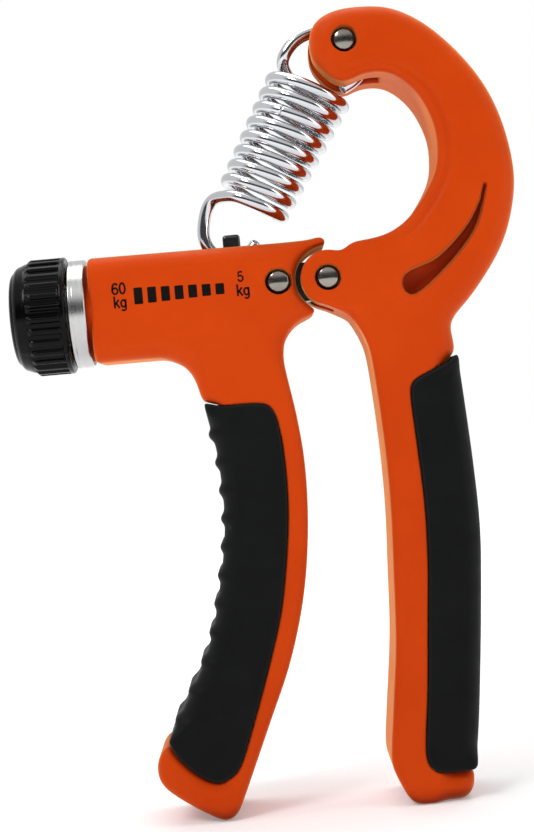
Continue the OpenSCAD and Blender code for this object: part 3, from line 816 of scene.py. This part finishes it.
def orange_plastic():
    """Matt moulded plastic, lighter on the roundings, with painted shade that darkens its hollows."""
    f = Finish("orange_plastic")
    tone = f.mix(f.spread(f.noise(60, 3), 0, 1), (0.55, 0.044, 0.0004), (0.61, 0.053, 0.0007))
    # Painted shade: the colour is darkened towards a dark red where nearby surfaces close round it, in gaps,
    # slots and the crescent.
    painted_hollow_shade = f.nodes.new("ShaderNodeAmbientOcclusion")
    painted_hollow_shade.samples = 8
    painted_hollow_shade.inputs["Distance"].default_value = 5 * MM
    f.colour(f.mix(f.spread(painted_hollow_shade.outputs["AO"], 0, 1, 0.25, 0.9), (0.20, 0.006, 0.0002), tone))
    f.rough(f.spread(f.noise(220, 4), 0.40, 0.52))
    f.bump(f.noise(2600, 4, 0.6), 0.10, 0.05).bump(f.noise(90, 2), 0.06, 0.25)
    f.fixed(Specular_IOR_Level=0.07, Sheen_Weight=0.9, Sheen_Roughness=0.4, Sheen_Tint=(1.0, 0.42, 0.10, 1))
    return f.material


def grip_rubber():
    """Matt soft rubber, a little greyer on its exposed edges."""
    f = Finish("grip_rubber")
    tone = f.mix(f.spread(f.noise(130, 4), 0, 1), (0.0016, 0.0019, 0.0022), (0.0030, 0.0034, 0.0038))
    dusty = f.mix(f.spread(f.edge_wear_and_highlight(), 0, 0.5, 0, 1), tone, (0.022, 0.025, 0.028))
    f.colour(dusty).rough(f.spread(f.noise(300, 4), 0.50, 0.64))
    f.bump(f.noise(3200, 5, 0.65), 0.30, 0.06).bump(f.noise(700, 3), 0.06, 0.15)
    f.fixed(Specular_IOR_Level=0.12, Sheen_Weight=0.02, Sheen_Roughness=0.5)
    return f.material


def black_plastic(name, low, high, shine):
    """Black finish with a roughness from low to high."""
    f = Finish(name)
    tone = f.mix(f.spread(f.noise(150, 3), 0, 1), (0.0010, 0.0010, 0.0011), (0.0022, 0.0022, 0.0024))
    # Exposed edges are painted a lighter grey: rubbed wear, and on the black oxide also a painted edge
    # highlight.
    worn_and_highlit = f.mix(f.spread(f.edge_wear_and_highlight(), 0, 0.4, 0, 1), tone, (0.02, 0.02, 0.021))
    f.colour(worn_and_highlit).rough(f.spread(f.noise(400, 4), low, high))
    f.bump(f.noise(2200, 3), 0.05, 0.04)
    f.fixed(Specular_IOR_Level=shine)
    return f.material


def metal(name, dark, light, low, high, stretch, strength):
    """Metal with fine marks, drawn out along the axes where the stretch is small, and uneven polish."""
    f = Finish(name, 1.0)
    lines = f.noise(900, 4, 0.6, stretch)
    f.colour(f.mix(f.spread(f.noise(110, 3), 0, 1), dark, light))
    f.rough(f.spread(lines, low, high))
    f.bump(lines, strength, 0.03)
    return f.material


def moulded(name, dark, light, low, high):
    """Pale moulded plastic for the inner pieces."""
    f = Finish(name)
    f.colour(f.mix(f.spread(f.noise(200, 3), 0, 1), dark, light)).rough(f.spread(f.noise(350, 3), low, high))
    f.bump(f.noise(1800, 3), 0.1, 0.04)
    return f.material


def scale_ink():
    """Near-black print."""
    f = Finish("scale_ink")
    f.colour(f.mix(f.spread(f.noise(900, 4), 0, 1), (0.0020, 0.0015, 0.0012), (0.0060, 0.0040, 0.0030)))
    f.rough(f.spread(f.noise(1200, 3), 0.42, 0.6)).bump(f.noise(3000, 3), 0.15, 0.02)
    f.fixed(Specular_IOR_Level=0.1)
    return f.material


def floor_paint():
    """Pale paint that glows a little more further out, so that no horizon shows."""
    f = Finish("studio_floor")
    f.colour(f.mix(f.spread(f.noise(3, 2), 0, 1), (0.91, 0.91, 0.91), (0.93, 0.93, 0.93)))
    f.rough(f.spread(f.noise(8, 2), 0.75, 0.9))
    reach = f.nodes.new("ShaderNodeVectorMath")
    reach.operation = "LENGTH"
    f.links.new(f.place, reach.inputs[0])
    f.links.new(f.spread(reach.outputs["Value"], 0.2, 0.63, 0.12, 0.7), f.shader.inputs["Emission Strength"])
    f.fixed(Emission_Color=(1, 1, 1, 1), Specular_IOR_Level=0.0)
    return f.material


ORANGE = orange_plastic()
RUBBER = grip_rubber()
KNOB_BLACK = black_plastic("knob_black_gloss", 0.14, 0.22, 0.11)
OXIDE = black_plastic("black_oxide", 0.18, 0.3, 0.9)
EVEN = (1, 1, 1)
ROUND_X = (1, 0.05, 0.05)
LONG_ROUND_X = (1, 0.04, 0.04)
STEEL = metal("turned_steel", (0.45, 0.45, 0.46), (0.62, 0.62, 0.63), 0.22, 0.4, ROUND_X, 0.2)
SATIN = metal("satin_aluminium", (0.46, 0.46, 0.455), (0.54, 0.54, 0.54), 0.16, 0.3, LONG_ROUND_X, 0.15)
DARK_CHROME = metal("dark_chrome", (0.24, 0.22, 0.195), (0.32, 0.30, 0.27), 0.10, 0.18, EVEN, 0.05)
CHROME = metal("spring_chrome", (0.55, 0.56, 0.58), (0.62, 0.63, 0.65), 0.08, 0.14, EVEN, 0.002)
ACETAL = moulded("acetal", (0.66, 0.61, 0.49), (0.75, 0.70, 0.58), 0.35, 0.5)
NYLON = moulded("nylon", (0.78, 0.78, 0.76), (0.85, 0.85, 0.83), 0.35, 0.5)
INK = scale_ink()


def dress(piece, material):
    piece.data.materials.clear()
    piece.data.materials.append(material)
    return piece


def stand_for(piece, material, body, slot, *nodes):
    """The piece gets its material, rides on a body and stands for CAD nodes."""
    dress(piece, material)
    if nodes:
        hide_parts(*nodes)
    if body:
        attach(piece, body)
    return piece


# ---------------------------------------------------------------- the object
MOULDED = (
    ("left_handle_shell", left_handle_field, "left_handle", 0.45, ORANGE, "left_handle", "orange"),
    ("right_handle_shell", right_handle_field, "right_handle", 0.45, ORANGE, "right_handle", "orange"),
    ("left_grip_sleeve", grip_field(LEFT_GRIP, 1, "left_grip", 8.6), "left_grip", 0.4, RUBBER,
     "left_handle", "rubber"),
    ("right_grip_sleeve", grip_field(RIGHT_GRIP, -1, "right_grip", 0.4), "right_grip", 0.4, RUBBER,
     "right_handle", "rubber"),
    ("carriage_block", carriage_field, "carriage", 0.28, OXIDE, "carriage", "dark_steel"),
)
for name, field, node, step, material, body, slot in MOULDED:
    low, high = corners(node)
    stand_for(skin(name, field, low, high, step), material, body, slot, node)

knob, cap = knob_pieces()
stand_for(knob, KNOB_BLACK, "knob", "knob_black", "knob")
stand_for(cap, KNOB_BLACK, "knob", "knob_black", "knob_cap")
stand_for(collar_piece(), SATIN, "left_handle", "collar", "collar_ring")
stand_for(screw_piece(), STEEL, "knob", "steel", "lead_screw")
PIN_BODIES = {"link_pin": "left_handle", "pivot_pin": "right_handle", "spring_pin": "right_handle"}
for node, body in PIN_BODIES.items():
    stand_for(pin_piece(node + "_polished", node), DARK_CHROME, body, "pin_steel", node)

# Turns of the coil at which the wire is divided into its four pieces.
CUT_TURNS = (0.6, 6.2, 8.8)
path = spring_path()
cuts = [int(np.argmin(np.linalg.norm(path - coil_at(t), axis=1))) for t in CUT_TURNS]
spring_parts = (
    ("spring_wire_hook", path[:cuts[0] + 1], True, False, "spring_hook"),
    ("spring_wire_lower", path[cuts[0]:cuts[1] + 1], False, False, "spring_foot"),
    ("spring_wire_upper", path[cuts[1]:cuts[2] + 1], False, False, "spring_coil"),
    ("spring_wire_loop", path[cuts[2]:], False, True, "spring_loop"),
)
wires = [stand_for(tube(name, line, WIRE_R, first, last), CHROME, None, "spring_chrome", node)
         for name, line, first, last, node in spring_parts]


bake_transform(wires[0])
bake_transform(wires[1])
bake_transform(wires[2])
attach(wires[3], "spring_loop")

for piece in scale_bars():
    stand_for(piece, INK, "left_handle", "dark_steel")
WORDS = (("scale_high", "60", -28.75, 3.75, 2.35), ("scale_high_unit", "kg", -28.65, 1.1, 2.3),
         ("scale_low", "5", -4.6, 4.05, 2.1), ("scale_low_unit", "kg", -4.3, 1.4, 2.3))
for name, word, x, rise, height in WORDS:
    stand_for(scale_word(name, word, x, AXIS_Z + rise, height), INK, "left_handle", "dark_steel")

CARRIED = {"knob_screw": STEEL, "screw_bearing": ACETAL, "thrust_washer": STEEL, "retaining_clip": OXIDE,
           "hinge_link": OXIDE, "pivot_bush": ACETAL, "pivot_washers": NYLON, "spring_sleeve": STEEL}
for node, material in CARRIED.items():
    dress(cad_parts[node], material)


# ---------------------------------------------------------------- studio
DAYLIGHT = 0.42
GLOSS_BRIGHT, GLOSS_FALL = 0.85, 0.78


def add_floor():
    """Pale floor that reaches far past the object."""
    rings, sides, reach = 24, 96, 4000
    points = [(0, 0, 0)]
    for i in range(1, rings + 1):
        r = reach * (i / rings) ** 2
        points += [(r * math.cos(a), r * math.sin(a), 0) for a in np.arange(sides) * 2 * math.pi / sides]
    faces = [(0, 1 + k, 1 + (k + 1) % sides) for k in range(sides)]
    faces += [(1 + i * sides + k, 1 + (i + 1) * sides + k, 1 + (i + 1) * sides + (k + 1) % sides,
               1 + i * sides + (k + 1) % sides) for i in range(rings - 1) for k in range(sides)]
    floor = make_mesh("floor", points, faces)
    dress(floor, floor_paint())


def add_softbox(name, place, size, power):
    """Rectangular area light that faces the middle of the object."""
    light = bpy.data.lights.new(name, "AREA")
    light.shape = "RECTANGLE"
    light.size, light.size_y = size
    light.energy = power
    lamp = bpy.data.objects.new(name, light)
    lamp.location = place
    aim = Vector((0, 0, 0.08)) - Vector(place)
    lamp.rotation_euler = aim.to_track_quat("-Z", "Y").to_euler()
    bpy.context.scene.collection.objects.link(lamp)


def add_world():
    """Pale surroundings. Glossy surfaces see a dark front, between bright bands above and below."""
    world = bpy.data.worlds.new("studio")
    bpy.context.scene.world = world
    world.use_nodes = True
    nodes, links = world.node_tree.nodes, world.node_tree.links
    background = nodes["Background"]

    def mapped(source, start, end, low, high):
        node = nodes.new("ShaderNodeMapRange")
        node.interpolation_type = "SMOOTHSTEP"
        for socket, value in (("From Min", start), ("From Max", end), ("To Min", low), ("To Max", high)):
            node.inputs[socket].default_value = value
        links.new(source, node.inputs["Value"])
        return node.outputs["Result"]

    def maths(operation, first, second):
        node = nodes.new("ShaderNodeMath")
        node.operation = operation
        for socket, value in zip(node.inputs, (first, second)):
            if isinstance(value, float):
                socket.default_value = value
            else:
                links.new(value, socket)
        return node.outputs[0]

    split = nodes.new("ShaderNodeSeparateXYZ")
    links.new(nodes.new("ShaderNodeTexCoord").outputs["Generated"], split.inputs[0])
    height = maths("ABSOLUTE", split.outputs[2], 0.0)
    front = maths("MULTIPLY", mapped(split.outputs[1], -0.15, -0.6, 0.0, 1.0),
                  mapped(height, 0.3, 0.62, 1.0, 0.0))
    glossy = maths("SUBTRACT", GLOSS_BRIGHT, maths("MULTIPLY", front, GLOSS_FALL))
    ray = nodes.new("ShaderNodeLightPath")
    shown = maths("MULTIPLY", ray.outputs["Is Camera Ray"], 1.0 - DAYLIGHT)
    plain = maths("ADD", shown, DAYLIGHT)
    pick = nodes.new("ShaderNodeMix")
    links.new(ray.outputs["Is Glossy Ray"], pick.inputs[0])
    links.new(plain, pick.inputs[2])
    links.new(glossy, pick.inputs[3])
    links.new(pick.outputs[0], background.inputs["Strength"])
    background.inputs["Color"].default_value = (1, 1, 1, 1)


def add_camera():
    """Camera level with the middle of the object, rolled so that the object leans."""
    roll = math.radians(5)
    focal_px, frame_px, sensor_mm = 1690, 832, 36
    camera = bpy.data.cameras.new("camera")
    camera.sensor_fit = "VERTICAL"
    camera.sensor_height = sensor_mm
    camera.lens = focal_px / frame_px * sensor_mm
    camera.clip_start, camera.clip_end = 0.01, 50
    holder = bpy.data.objects.new("camera", camera)
    right = Vector((math.cos(roll), 0, -math.sin(roll)))
    upward = Vector((math.sin(roll), 0, math.cos(roll)))
    back = Vector((0, -1, 0))
    turn = Matrix((right, upward, back)).transposed().to_4x4()
    place = Vector((-1.8, -343, 79.2)) * MM
    holder.matrix_world = Matrix.Translation(place) @ turn
    bpy.context.scene.collection.objects.link(holder)
    bpy.context.scene.camera = holder


add_floor()
add_world()
add_softbox("key", (-0.45, -0.55, 0.75), (0.3, 0.3), 3.4)
add_softbox("fill", (0.8, -0.35, 0.3), (0.2, 0.7), 1.3)
add_softbox("top", (0.0, 0.15, 0.9), (0.9, 0.6), 4.5)
add_camera()
bpy.context.scene.view_settings.view_transform = "Standard"
